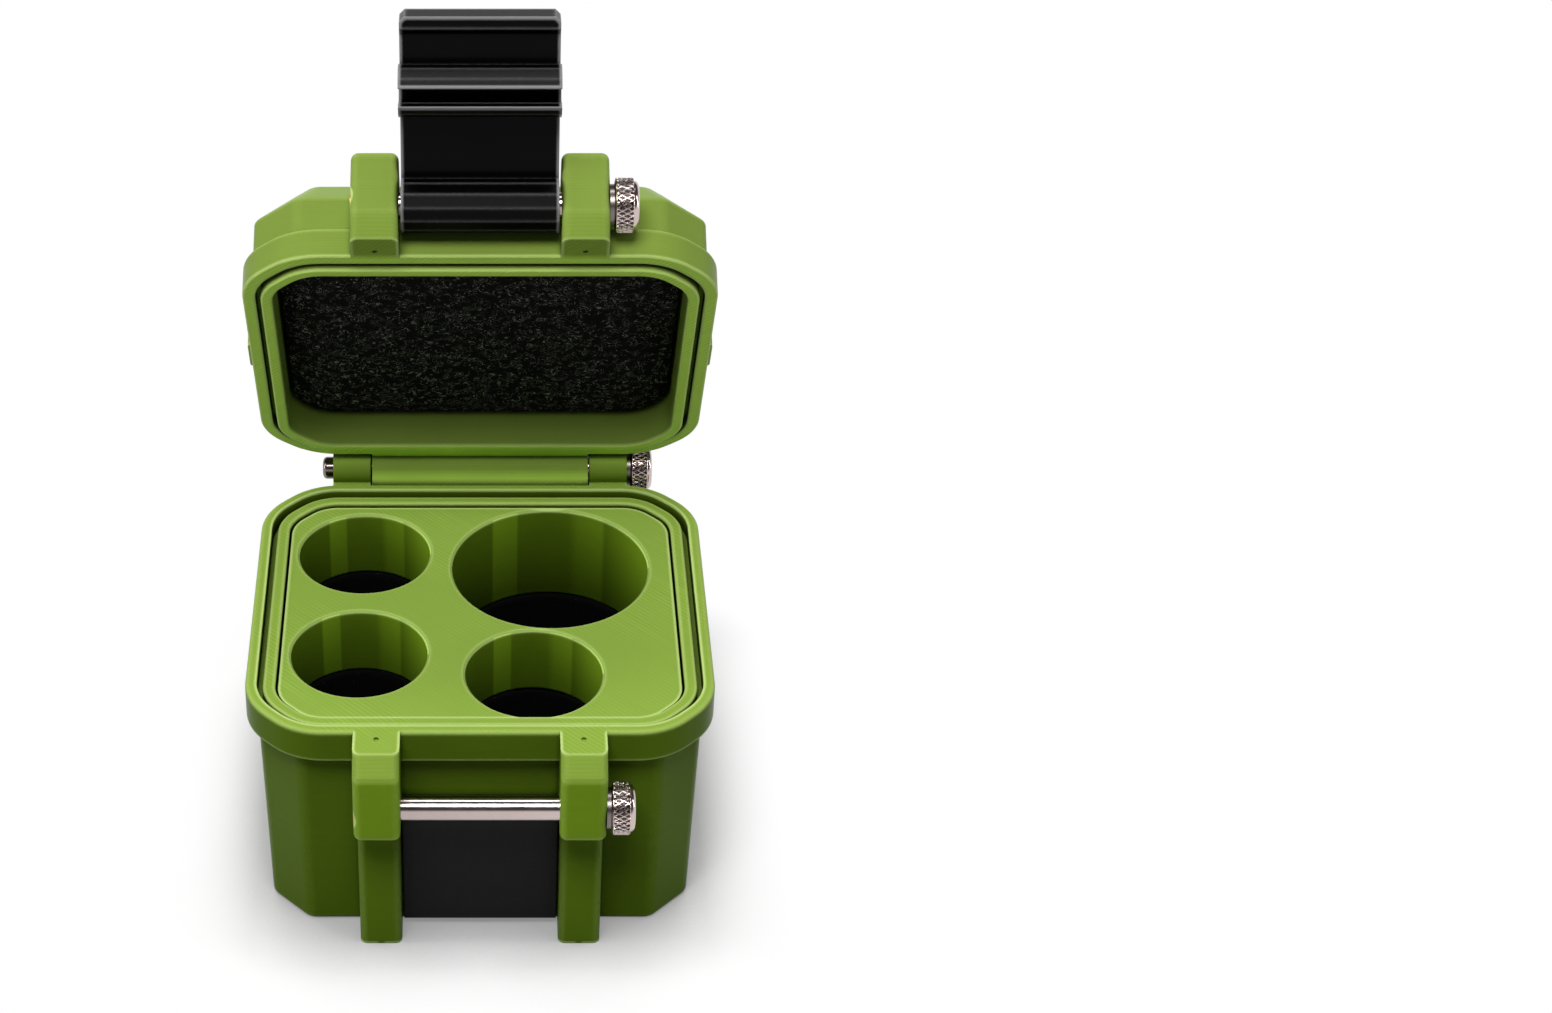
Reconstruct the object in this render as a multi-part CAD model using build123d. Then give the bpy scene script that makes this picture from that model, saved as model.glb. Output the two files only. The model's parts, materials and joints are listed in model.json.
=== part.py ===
from build123d import *
import os
from math import sqrt

# Hinged vial case in millimetres: a chamfered box with a four-pocket tray, a
# foam-lined lid on a rear hinge screw, and a one-piece snap latch on the lid.
# X points right, Y to the back and Z up. The origin is the centre of the base's
# underside. The lid stands open and the latch stands up from it.

# Vials and the pockets that hold them
SMALL_VIAL_D = 16.0
LARGE_VIAL_D = 24.0
SMALL_VIAL_CLEARANCE = 0.45
LARGE_VIAL_CLEARANCE = 0.6
LEFT_MARGIN = 1.2
COLUMN_WEB = 2.9
RIGHT_MARGIN = 3.0
LARGE_REAR_MARGIN = 0.5
LEFT_REAR_MARGIN = 1.6
LEFT_WEB = 4.0
RIGHT_WEB = 0.7
FRONT_WEB = 0.5
FRONT_TRIM = 0.2
FRONT_RIGHT_SHIFT = 2.4
POCKET_EDGE = 0.3

# Tray and foam in the base
TRAY_CLEARANCE = 0.3
TRAY_THICKNESS = 9.2
COLLAR_WALL = 1.2
COLLAR_DEPTH = 4.4
COLLAR_SET_BACK = 0.5
TRAY_SEAT = 2.4
TRAY_DROP = 0.5
FOAM_GAP = 0.2
FOAM_GRIP = 0.4
COLLAR_ROOM = 0.3
PAD_THICKNESS = 1.5
PAD_CLEARANCE = 0.3

# Base box
BASE_HEIGHT = 32.5
FLOOR = 2.0
BASE_RIM_HEIGHT = 4.6
BASE_WALL_INSET = 1.6
BASE_DRAFT = 0.7
BASE_FOOT_ROUND = 0.8

# Rim section, from its outer edge inwards
RIM_CORNER_CUT = 6.2
RIM_CORNER_BLEND = 8.8
SMALLEST_BLEND = 1.0
BLEND_PER_CUT = 1.6
WALL_CORNER_BLEND = 2.2
RIM_EDGE_ROUND = 0.5
BAND_EDGE = 0.3
BASE_OUTER_BAND = 1.4
BASE_GROOVE = 0.7
BASE_INNER_BAND = 1.56
BASE_GROOVE_DEPTH = 2.4
INNER_BAND_DROP = 0.6
LID_OUTER_BAND = 1.55
LID_GROOVE = 0.65
LID_LIP = 1.45
LID_GROOVE_DEPTH = 1.6
SEAM_GAP = 0.3

# Lid
LID_HEIGHT = 13.2
LID_RIM_HEIGHT = 4.0
LID_WALL_INSET = 1.3
LID_SLOPE = 4.3
LID_ROOF = 2.0
LID_FOAM_RECESS = 3.8
LID_FOAM_CLEARANCE = 0.3
LID_REST_ANGLE = 61.0
SIDE_RIB_WIDTH = 5.5
SIDE_RIB_PROUD = 0.4
SIDE_RIB_LIFT = 1.0
REAR_RIB_WIDTH = 6.3
REAR_RIB_RUN = 3.6
REAR_RIB_LIFT = 0.5
RIB_ROUND = 0.5

# Ears and ribs that carry the two front screws
EAR_SPACING = 24.6
EAR_WIDTH = 5.6
EAR_NOSE = 2.7
EAR_LEAD = 2.2
EAR_LEAD_DROP = 2.5
EAR_ROUND = 1.4
EAR_EDGE_ROUND = 0.9
LID_EAR_HEIGHT = 11.0
BASE_EAR_HEIGHT = 12.3
RIB_WIDTH = 5.2
BASE_RIB_REACH = 2.0
LID_RIB_REACH = 0.3
PIN_REACH = 3.5
LID_PIN_RISE = 4.9
CATCH_PIN_DROP = 8.8
DIMPLE_D = 0.6
DIMPLE_DEPTH = 0.25
DIMPLE_REACH = 1.2

# Hinge
HINGE_REACH = 3.6
KNUCKLE_GAP = 0.4
KNUCKLE_SIDE_GAP = 0.2
END_KNUCKLE = 5.0
MIDDLE_KNUCKLE = 28.8
GUSSET_HEIGHT = 10.0

# Screws, washers and threaded inserts
SCREW_D = 3.0
SCREW_HOLE_CLEARANCE = 0.05
RUNNING_CLEARANCE = 0.08
HEAD_D = 6.4
HEAD_LENGTH = 2.9
HEAD_CROWN = 0.7
HEAD_CHAMFER = 0.25
WASHER_D = 5.0
WASHER_THICKNESS = 0.5
INSERT_D = 4.2
INSERT_LENGTH = 3.8
INSERT_CLEARANCE = 0.02
SCREW_TIP_ROUND = 0.6
HINGE_SCREW_END = 1.5
FRONT_SCREW_RECESS = 0.5

# Latch
LATCH_SIDE_GAP = 0.3
LATCH_REST_ANGLE = 127.0
LATCH_PLATE = 1.9
LATCH_PLATE_RELIEF = 0.25
LATCH_FACETS = 12
HOOK_WALL = 1.45
HOOK_MOUTH = 1.8
HOOK_FLARE = 0.25
LATCH_TAIL = 8.6
LATCH_LIP_HEIGHT = 2.2
LATCH_LIP_OUT = 0.5
LATCH_LIP_IN = 0.8
LATCH_CORNER = 0.6
MOVING_GAP = 0.3

# Panel on the base's front wall
PANEL_THICKNESS = 1.0
PANEL_SIDE_GAP = 0.2
PANEL_FOOT = 1.2
PANEL_TOP_DROP = 1.0

# How far a rib or wall starts inside what it stands on, how far a cutting tool
# runs past the face it cuts, and the slack for telling two places apart
ROOT = 1.0
OVERCUT = 1.0
SAME = 0.01

# Sizes that follow from the ones above
small_d = SMALL_VIAL_D + 2 * SMALL_VIAL_CLEARANCE
large_d = LARGE_VIAL_D + 2 * LARGE_VIAL_CLEARANCE
tray_width = LEFT_MARGIN + small_d + COLUMN_WEB + large_d + RIGHT_MARGIN
tray_depth = LARGE_REAR_MARGIN + large_d + RIGHT_WEB + small_d - FRONT_TRIM + FRONT_WEB
base_cavity_inset = BASE_OUTER_BAND + BASE_GROOVE + BASE_INNER_BAND
tray_inset = base_cavity_inset + TRAY_CLEARANCE
rim_width = tray_width + 2 * tray_inset
rim_depth = tray_depth + 2 * tray_inset
rim_front = -rim_depth / 2
rim_rear = rim_depth / 2

seam_z = BASE_HEIGHT
lid_z = seam_z + SEAM_GAP
lid_top = lid_z + LID_HEIGHT
lid_cavity_inset = LID_OUTER_BAND + LID_GROOVE + LID_LIP
lid_lip_drop = SEAM_GAP + INNER_BAND_DROP - MOVING_GAP
lid_roof = lid_top - LID_ROOF
roof_slope = LID_SLOPE + LID_WALL_INSET + LID_ROOF * (2 - sqrt(2)) - lid_cavity_inset
wall_lean = BASE_DRAFT / (BASE_HEIGHT - BASE_RIM_HEIGHT)
band_top = seam_z - INNER_BAND_DROP
tray_top = band_top - TRAY_DROP
tray_floor = tray_top - TRAY_THICKNESS

hinge_y = rim_rear + HINGE_REACH
hinge_z = seam_z + SEAM_GAP / 2
knuckle_r = HINGE_REACH - KNUCKLE_GAP
hinge_half = MIDDLE_KNUCKLE / 2 + KNUCKLE_SIDE_GAP + END_KNUCKLE

pin_y = rim_front - PIN_REACH
latch_pin_z = lid_z + LID_PIN_RISE
catch_pin_z = seam_z - CATCH_PIN_DROP
ear_reach = PIN_REACH + EAR_NOSE
ear_half = (EAR_SPACING + EAR_WIDTH) / 2
latch_width = EAR_SPACING - EAR_WIDTH - 2 * LATCH_SIDE_GAP
barrel_r = PIN_REACH - MOVING_GAP
hook_r = SCREW_D / 2 + RUNNING_CLEARANCE + HOOK_WALL
running_r = SCREW_D / 2 + RUNNING_CLEARANCE
fixed_r = SCREW_D / 2 + SCREW_HOLE_CLEARANCE

left_x = -tray_width / 2 + LEFT_MARGIN + small_d / 2
large_x = tray_width / 2 - RIGHT_MARGIN - large_d / 2
large_y = tray_depth / 2 - LARGE_REAR_MARGIN - large_d / 2
rear_left_y = tray_depth / 2 - LEFT_REAR_MARGIN - small_d / 2
front_left_y = rear_left_y - small_d - LEFT_WEB
front_right_y = large_y - large_d / 2 - RIGHT_WEB - small_d / 2
pockets = {
    "large": (large_x, large_y, large_d),
    "rear_left": (left_x, rear_left_y, small_d),
    "front_left": (left_x, front_left_y, small_d),
    "front_right": (large_x - FRONT_RIGHT_SHIFT, front_right_y, small_d),
}


def plan(inset, blend=None, extra_cut=0.0):
    """Rim outline moved inwards, a rectangle with blended 45 degree corners."""
    if blend is None:
        blend = max(RIM_CORNER_BLEND - inset, SMALLEST_BLEND)
    x = rim_width / 2 - inset
    y = rim_depth / 2 - inset
    cut = RIM_CORNER_CUT - inset * (2 - sqrt(2)) + extra_cut
    quarter = [(x, y - cut), (x - cut, y)]
    points = quarter + [(-px, py) for px, py in reversed(quarter)]
    points += [(-px, -py) for px, py in quarter] + [(px, -py) for px, py in reversed(quarter)]
    outline = make_face(Polyline(*points, close=True))
    return fillet(outline.vertices(), min(blend, BLEND_PER_CUT * cut))


def prism(outline, bottom, top):
    """Upright solid on a plan outline, between two heights."""
    return extrude(Pos(0, 0, bottom) * outline, amount=top - bottom, dir=(0, 0, 1))


def frustum(lower, upper, bottom, top):
    """Upright solid whose outline changes evenly between two heights."""
    return loft([Pos(0, 0, bottom) * lower, Pos(0, 0, top) * upper], ruled=True)


def side_slab(points, width, x=0.0):
    """Slab from a side profile of (Y, Z) points, centred on an X position."""
    face = make_face(Polyline(*[(0, y, z) for y, z in points], close=True))
    return Pos(x, 0, 0) * extrude(face, amount=width / 2, dir=(1, 0, 0), both=True)


def cross_pin(radius, start, end, y, z):
    """Round bar along X between two X positions."""
    return Pos((start + end) / 2, y, z) * Rot(0, 90, 0) * Cylinder(radius, end - start)


def round_edges_along_x(body, radius, keep):
    """Round the edges parallel to X that the keep test picks by their centre."""
    edges = [e for e in body.edges().filter_by(Axis.X) if keep(e.center())]
    return fillet(edges, radius)


def round_flanks(body, radius, keep):
    """Round the edges square to X that the keep test picks by their centre."""
    edges = [e for e in body.edges() if not spans_x(e) and keep(e.center())]
    return fillet(edges, radius)


def spans_x(edge):
    """True for an edge that spans some width along X."""
    return edge.bounding_box().size.X > SAME


def near_level(edge, z):
    """True for an edge that lies flat at a height."""
    box = edge.bounding_box()
    return abs(box.min.Z - z) < SAME and abs(box.max.Z - z) < SAME


def open_lid(shape):
    """Turn a closed lid piece about the hinge to its rest opening."""
    return Pos(0, hinge_y, hinge_z) * Rot(-LID_REST_ANGLE, 0, 0) * Pos(0, -hinge_y, -hinge_z) * shape


def raise_latch(shape):
    """Turn a closed latch piece about its own pin, then with the lid."""
    turned = Pos(0, pin_y, latch_pin_z) * Rot(-LATCH_REST_ANGLE, 0, 0) * Pos(0, -pin_y, -latch_pin_z)
    return open_lid(turned * shape)


def pocket_outline(name, grow=0.0):
    """One vial pocket in plan. A straight web trims it at the tray's front."""
    x, y, diameter = pockets[name]
    circle = Pos(x, y) * Circle(diameter / 2 + grow)
    web_y = -tray_depth / 2 + FRONT_WEB - grow
    window = Pos(0, web_y + tray_depth) * Rectangle(2 * tray_width, 2 * tray_depth)
    return circle & window


def collar_outline(grow=0.0):
    """Collar below the large pocket in plan, set back from the pocket before it."""
    x, y, diameter = pockets["large"]
    ring = Pos(x, y) * Circle(diameter / 2 + COLLAR_WALL + grow)
    x, y, diameter = pockets["front_right"]
    return ring - Pos(x, y) * Circle(diameter / 2 + COLLAR_SET_BACK - grow)


def base_ear(x):
    """Base ear and the rib below it, flush with the rim's top."""
    y_wall = rim_front + base_cavity_inset - BASE_INNER_BAND / 2
    y_ear = rim_front - ear_reach
    z_low = seam_z - BASE_EAR_HEIGHT
    ear = side_slab([
        (y_wall, seam_z),
        (y_ear + EAR_LEAD, seam_z),
        (y_ear, seam_z - EAR_LEAD_DROP),
        (y_ear, z_low),
        (y_wall, z_low),
    ], EAR_WIDTH, x)
    ear = round_edges_along_x(ear, EAR_ROUND, lambda c: c.Y < y_ear + SAME)
    ear = round_flanks(ear, EAR_EDGE_ROUND, lambda c: c.Y < rim_front and c.Z < seam_z - SAME)
    rib_y = rim_front - BASE_RIB_REACH
    rib_top = z_low + EAR_ROUND
    rib = side_slab([(y_wall, rib_top), (rib_y, rib_top), (rib_y, 0), (y_wall, 0)], RIB_WIDTH, x)
    rib = round_flanks(rib, EAR_EDGE_ROUND, lambda c: abs(c.Y - rib_y) < SAME)
    dimple = Pos(x, rim_front - DIMPLE_REACH, seam_z) * Cylinder(DIMPLE_D / 2, 2 * DIMPLE_DEPTH)
    return ear + rib - dimple


def base_knuckle(x):
    """Outer hinge knuckle with the gusset that ties it to the rear wall."""
    barrel = cross_pin(knuckle_r, x - END_KNUCKLE / 2, x + END_KNUCKLE / 2, hinge_y, hinge_z)
    y_wall = rim_rear - base_cavity_inset + BASE_INNER_BAND / 2
    gusset = side_slab([
        (y_wall, seam_z),
        (hinge_y, seam_z),
        (hinge_y + knuckle_r / sqrt(2), hinge_z - knuckle_r / sqrt(2)),
        (rim_rear - BASE_WALL_INSET, seam_z - GUSSET_HEIGHT),
        (y_wall, seam_z - GUSSET_HEIGHT),
    ], END_KNUCKLE, x)
    return barrel + gusset


def base_shell():
    """Box with its rim groove, front ears and ribs, and rear hinge knuckles."""
    rim_floor = seam_z - BASE_RIM_HEIGHT
    foot = plan(BASE_WALL_INSET + BASE_DRAFT, WALL_CORNER_BLEND)
    wall = frustum(foot, plan(BASE_WALL_INSET, WALL_CORNER_BLEND), 0, rim_floor)
    wall = fillet(wall.faces().sort_by(Axis.Z)[0].edges(), BASE_FOOT_ROUND)
    rim = prism(plan(0), rim_floor, seam_z)
    rim = fillet(rim.faces().sort_by(Axis.Z)[-1].edges(), RIM_EDGE_ROUND)
    rim = chamfer(rim.faces().sort_by(Axis.Z)[0].edges(), RIM_EDGE_ROUND / 2)
    shell = wall + rim
    for side in (-1, 1):
        shell += base_ear(side * EAR_SPACING / 2)
        shell += base_knuckle(side * (hinge_half - END_KNUCKLE / 2))
    shell -= prism(plan(BASE_OUTER_BAND), band_top, seam_z + OVERCUT)
    groove = plan(BASE_OUTER_BAND) - plan(BASE_OUTER_BAND + BASE_GROOVE)
    shell -= prism(groove, seam_z - BASE_GROOVE_DEPTH, band_top + OVERCUT)
    shell -= prism(plan(base_cavity_inset), tray_floor, seam_z)
    shell = fillet([e for e in shell.edges() if near_level(e, band_top)], BAND_EDGE)
    shell -= prism(plan(base_cavity_inset, WALL_CORNER_BLEND, TRAY_SEAT * sqrt(2)), FLOOR, tray_floor)
    shell -= cross_pin(running_r, -hinge_half, hinge_half, hinge_y, hinge_z)
    shell -= cross_pin(fixed_r, -ear_half, ear_half, pin_y, catch_pin_z)
    shell -= insert_seat(-hinge_half, hinge_y, hinge_z)
    shell -= insert_seat(-ear_half, pin_y, catch_pin_z)
    return shell


def insert_seat(x, y, z):
    """Hole for a threaded insert, from the left face of a knuckle or ear."""
    return cross_pin(INSERT_D / 2 + INSERT_CLEARANCE, x - OVERCUT, x + INSERT_LENGTH, y, z)


def vial_tray():
    """Four-pocket tray that drops into the box, with a collar round the large one."""
    outline = plan(tray_inset)
    tray = prism(outline, tray_floor, tray_top)
    tray += prism(collar_outline() & outline, tray_floor - COLLAR_DEPTH, tray_floor)
    for name in pockets:
        pocket = pocket_outline(name)
        tray -= prism(pocket, tray_floor - COLLAR_DEPTH, tray_top)
        tray -= frustum(pocket, pocket_outline(name, POCKET_EDGE), tray_top - POCKET_EDGE, tray_top)
    return tray


def foam_block():
    """Die-cut foam below the tray, whose holes grip the vials."""
    outline = plan(tray_inset, WALL_CORNER_BLEND, TRAY_SEAT * sqrt(2))
    block = prism(outline, FLOOR + FOAM_GAP, tray_floor - FOAM_GAP)
    for name in pockets:
        block -= prism(pocket_outline(name, -FOAM_GRIP), FLOOR, tray_floor)
    block -= prism(collar_outline(COLLAR_ROOM), tray_floor - COLLAR_DEPTH - FOAM_GAP, tray_floor)
    return largest_solid(block)


def largest_solid(shape):
    """Keep the one piece that is left when thin edges fall away."""
    return shape.solids().sort_by(SortBy.VOLUME)[-1]


def pocket_pad(name):
    """Foam disc on the floor of one pocket."""
    outline = pocket_outline(name, -FOAM_GRIP - PAD_CLEARANCE)
    return prism(outline, FLOOR + FOAM_GAP, FLOOR + FOAM_GAP + PAD_THICKNESS)


def front_panel():
    """Black panel on the front wall, between the two ribs."""
    width = EAR_SPACING - RIB_WIDTH - 2 * PANEL_SIDE_GAP
    z_high = catch_pin_z - SCREW_D / 2 - PANEL_TOP_DROP
    y_foot = rim_front + BASE_WALL_INSET + BASE_DRAFT
    y_low = y_foot - wall_lean * PANEL_FOOT
    y_high = y_foot - wall_lean * z_high
    return side_slab([
        (y_low, PANEL_FOOT),
        (y_low - PANEL_THICKNESS, PANEL_FOOT),
        (y_high - PANEL_THICKNESS, z_high),
        (y_high, z_high),
    ], width)


def lid_block():
    """Outer body of the closed lid: rim, wall and sloped top."""
    wall_top = lid_top - LID_SLOPE
    rim_top = lid_z + LID_RIM_HEIGHT
    rim = prism(plan(0), lid_z, rim_top)
    rim = fillet(rim.faces().sort_by(Axis.Z)[-1].edges(), RIM_EDGE_ROUND)
    rim = fillet(rim.faces().sort_by(Axis.Z)[0].edges(), RIM_EDGE_ROUND / 2)
    wall = plan(LID_WALL_INSET, WALL_CORNER_BLEND)
    crown = plan(LID_WALL_INSET + LID_SLOPE, WALL_CORNER_BLEND)
    block = prism(wall, lid_z + ROOT, wall_top) + frustum(wall, crown, wall_top, lid_top)
    edges = [e for e in block.edges() if near_level(e, wall_top) or near_level(e, lid_top)]
    return fillet(edges, RIB_ROUND) + rim


def lid_cavity():
    """Hollow of the closed lid, which follows the sloped top inside."""
    lower = plan(lid_cavity_inset, WALL_CORNER_BLEND)
    upper = plan(lid_cavity_inset + roof_slope, WALL_CORNER_BLEND)
    straight = prism(plan(lid_cavity_inset), seam_z - INNER_BAND_DROP, lid_roof - roof_slope)
    return straight + frustum(lower, upper, lid_roof - roof_slope, lid_roof)


def lid_ear(x):
    """Lid ear and the rib above it, flush with the lid's rim face and top."""
    y_wall = rim_front + LID_WALL_INSET + ROOT
    y_ear = rim_front - ear_reach
    z_high = lid_z + LID_EAR_HEIGHT
    ear = side_slab([
        (y_wall, lid_z),
        (y_ear + EAR_LEAD, lid_z),
        (y_ear, lid_z + EAR_LEAD_DROP),
        (y_ear, z_high),
        (y_wall, z_high),
    ], EAR_WIDTH, x)
    ear = round_edges_along_x(ear, EAR_ROUND, lambda c: c.Y < y_ear + SAME)
    ear = round_flanks(ear, EAR_EDGE_ROUND, lambda c: c.Y < rim_front and c.Z > lid_z + SAME)
    rib_y = rim_front - LID_RIB_REACH
    rib_back = rim_front + LID_WALL_INSET + LID_SLOPE + ROOT
    rib = side_slab([
        (y_wall, z_high - EAR_ROUND),
        (rib_y, z_high - EAR_ROUND),
        (rib_y, lid_top),
        (rib_back, lid_top),
        (rib_back, lid_top - ROOT),
    ], RIB_WIDTH, x)
    rib = round_edges_along_x(rib, 2 * RIB_ROUND, lambda c: c.Y < rib_y + SAME and c.Z > lid_top - SAME)
    rib = round_flanks(rib, RIB_ROUND, lambda c: c.Y < rib_y + SAME or c.Z > lid_top - SAME)
    dimple = Pos(x, rim_front - DIMPLE_REACH, lid_z) * Cylinder(DIMPLE_D / 2, 2 * DIMPLE_DEPTH)
    return ear + rib - dimple


def lid_side_rib(side):
    """Rib over one side of the lid, from its top plane down past the rim."""
    reach = rim_width / 2 + SIDE_RIB_PROUD
    crown = rim_width / 2 - LID_WALL_INSET - LID_SLOPE
    flat = reach - LID_SLOPE
    foot = lid_z + SIDE_RIB_LIFT
    points = [
        (crown - ROOT, lid_top),
        (flat, lid_top),
        (reach, lid_top - LID_SLOPE),
        (reach, foot),
        (rim_width / 2 - LID_WALL_INSET - ROOT, foot),
    ]
    face = make_face(Polyline(*[(side * x, 0, z) for x, z in points], close=True))
    rib = extrude(face, amount=SIDE_RIB_WIDTH / 2, dir=(0, 1, 0), both=True)
    outer = [e for e in rib.edges() if abs(e.center().X) > (flat + crown) / 2 and e.center().Z > foot + SAME]
    return fillet(outer, RIB_ROUND)


def lid_rear_rib():
    """Rib from the lid's top plane down to the middle hinge knuckle."""
    crown = rim_rear - LID_WALL_INSET - LID_SLOPE
    back = crown + REAR_RIB_RUN
    rib = side_slab([
        (crown - ROOT, lid_top),
        (back, lid_top),
        (hinge_y + knuckle_r / sqrt(2), hinge_z + knuckle_r / sqrt(2)),
        (hinge_y, lid_z + REAR_RIB_LIFT),
        (rim_rear - LID_WALL_INSET - ROOT, lid_z + REAR_RIB_LIFT),
    ], REAR_RIB_WIDTH)
    return round_edges_along_x(rib, 2 * RIB_ROUND, lambda c: abs(c.Y - back) < SAME)


def lid_knuckle():
    """Middle hinge knuckle and the web that joins it to the lid's rim."""
    half = MIDDLE_KNUCKLE / 2
    barrel = cross_pin(knuckle_r, -half, half, hinge_y, hinge_z)
    web_top = hinge_z + knuckle_r
    web = side_slab([
        (rim_rear - LID_WALL_INSET, lid_z),
        (hinge_y, lid_z),
        (hinge_y, web_top),
        (rim_rear - LID_WALL_INSET, web_top),
    ], MIDDLE_KNUCKLE)
    return barrel + web


def lid_shell():
    """Lid with its lip, groove, ears, ribs and middle hinge knuckle."""
    shell = lid_block()
    for side in (-1, 1):
        shell += lid_ear(side * EAR_SPACING / 2)
        shell += lid_side_rib(side)
    shell += lid_rear_rib()
    shell += lid_knuckle()
    lip = plan(LID_OUTER_BAND + LID_GROOVE)
    lip_bottom = lid_z - lid_lip_drop
    shell += prism(lip, lip_bottom, lid_z + LID_GROOVE_DEPTH)
    shell -= prism(plan(LID_OUTER_BAND) - lip, lip_bottom, lid_z + LID_GROOVE_DEPTH)
    shell -= lid_cavity()
    shell = fillet([e for e in shell.edges() if near_level(e, lip_bottom)], BAND_EDGE)
    shell -= cross_pin(running_r, -hinge_half, hinge_half, hinge_y, hinge_z)
    shell -= cross_pin(fixed_r, -ear_half, ear_half, pin_y, latch_pin_z)
    shell -= insert_seat(-ear_half, pin_y, latch_pin_z)
    return open_lid(shell)


def lid_foam():
    """Foam pad that fills the lid's hollow down to its face."""
    inset = lid_cavity_inset + LID_FOAM_CLEARANCE
    lower = plan(inset, WALL_CORNER_BLEND)
    upper = plan(inset + roof_slope, WALL_CORNER_BLEND)
    shoulder = lid_roof - roof_slope - FOAM_GAP
    straight = prism(plan(inset), seam_z + LID_FOAM_RECESS, shoulder)
    return open_lid(straight + frustum(lower, upper, shoulder, lid_roof - FOAM_GAP))


def thumb_screw(half_span, end, y, z):
    """Screw with a smooth shank, its thumb head on the right-hand side."""
    head_x = half_span + WASHER_THICKNESS
    shank = cross_pin(SCREW_D / 2, -half_span - end, head_x, y, z)
    tip = shank.faces().sort_by(Axis.X)[0].edges()
    shank = fillet(tip, min(SCREW_TIP_ROUND, SCREW_D / 3))
    head = cross_pin(HEAD_D / 2, head_x, head_x + HEAD_LENGTH, y, z)
    head = fillet(head.faces().sort_by(Axis.X)[-1].edges(), HEAD_CROWN)
    head = chamfer(head.faces().sort_by(Axis.X)[0].edges(), HEAD_CHAMFER)
    return shank + head


def thumb_washer(half_span, y, z):
    """Washer between a screw head and the ear or knuckle."""
    disc = cross_pin(WASHER_D / 2, half_span, half_span + WASHER_THICKNESS, y, z)
    return disc - cross_pin(fixed_r, half_span, half_span + WASHER_THICKNESS, y, z)


def threaded_insert(half_span, y, z):
    """Threaded insert in the left ear or knuckle, flush with its face."""
    sleeve = cross_pin(INSERT_D / 2, -half_span, -half_span + INSERT_LENGTH, y, z)
    return sleeve - cross_pin(fixed_r, -half_span, -half_span + INSERT_LENGTH, y, z)


def latch_profile():
    """Side profiles of the closed latch in (Y, Z): its plate and its tail's lip."""
    outer_y = pin_y - barrel_r + LATCH_PLATE_RELIEF
    tail_z = catch_pin_z - LATCH_TAIL
    inner_y = outer_y + LATCH_PLATE
    plate = [(outer_y, latch_pin_z), (inner_y, latch_pin_z), (inner_y, tail_z), (outer_y, tail_z)]
    lip_top = tail_z + LATCH_LIP_HEIGHT
    lip = [
        (outer_y, lip_top),
        (outer_y - LATCH_LIP_OUT, lip_top - LATCH_LIP_OUT),
        (outer_y - LATCH_LIP_OUT, tail_z),
        (inner_y + LATCH_LIP_IN, tail_z),
        (inner_y + LATCH_LIP_IN, lip_top - LATCH_LIP_IN),
        (inner_y, lip_top),
    ]
    return plate, lip


def faceted_bar(radius, width, y, z):
    """Bar along X with flat facets, one of them facing the front."""
    turn = 180 / LATCH_FACETS
    bar = extrude(RegularPolygon(radius, LATCH_FACETS, rotation=turn), amount=width / 2, both=True)
    return Pos(0, y, z) * Rot(0, 90, 0) * bar


def latch():
    """One-piece snap latch: barrel on the lid's pin, plate, hook and tail."""
    plate, lip = latch_profile()
    body = side_slab(plate, latch_width) + side_slab(lip, latch_width)
    tail_z = catch_pin_z - LATCH_TAIL
    corners = [e for e in body.edges().filter_by(Axis.Y) if e.center().Z < tail_z + SAME]
    body = chamfer(corners, LATCH_CORNER)
    body += faceted_bar(barrel_r, latch_width, pin_y, latch_pin_z)
    body += faceted_bar(hook_r, latch_width + LATCH_SIDE_GAP, pin_y, catch_pin_z)
    throat = HOOK_MOUTH / 2
    half = latch_width / 2 + OVERCUT
    body -= side_slab([
        (pin_y, catch_pin_z - throat),
        (pin_y + hook_r, catch_pin_z - throat - HOOK_FLARE),
        (pin_y + hook_r, catch_pin_z + throat + HOOK_FLARE),
        (pin_y, catch_pin_z + throat),
    ], 2 * half)
    body -= cross_pin(running_r, -half, half, pin_y, latch_pin_z)
    body -= cross_pin(running_r, -half, half, pin_y, catch_pin_z)
    return raise_latch(body)


def build_parts():
    """Every sub-part by name, in its rest place."""
    parts = {
        "base_shell": base_shell(),
        "vial_tray": vial_tray(),
        "foam_block": foam_block(),
        "front_panel": front_panel(),
        "lid_shell": lid_shell(),
        "lid_foam": lid_foam(),
        "latch": latch(),
        "hinge_screw": thumb_screw(hinge_half, HINGE_SCREW_END, hinge_y, hinge_z),
        "hinge_washer": thumb_washer(hinge_half, hinge_y, hinge_z),
        "hinge_insert": threaded_insert(hinge_half, hinge_y, hinge_z),
        "catch_screw": thumb_screw(ear_half, -FRONT_SCREW_RECESS, pin_y, catch_pin_z),
        "catch_washer": thumb_washer(ear_half, pin_y, catch_pin_z),
        "catch_insert": threaded_insert(ear_half, pin_y, catch_pin_z),
        "latch_screw": open_lid(thumb_screw(ear_half, -FRONT_SCREW_RECESS, pin_y, latch_pin_z)),
        "latch_washer": open_lid(thumb_washer(ear_half, pin_y, latch_pin_z)),
        "latch_insert": open_lid(threaded_insert(ear_half, pin_y, latch_pin_z)),
    }
    for name in pockets:
        parts["pocket_pad_" + name] = pocket_pad(name)
    return parts


os.makedirs("parts", exist_ok=True)
for node, solid in build_parts().items():
    export_step(solid, "parts/" + node + ".step")
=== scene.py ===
import json
from math import cos, pi, radians, sin, sqrt

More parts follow.
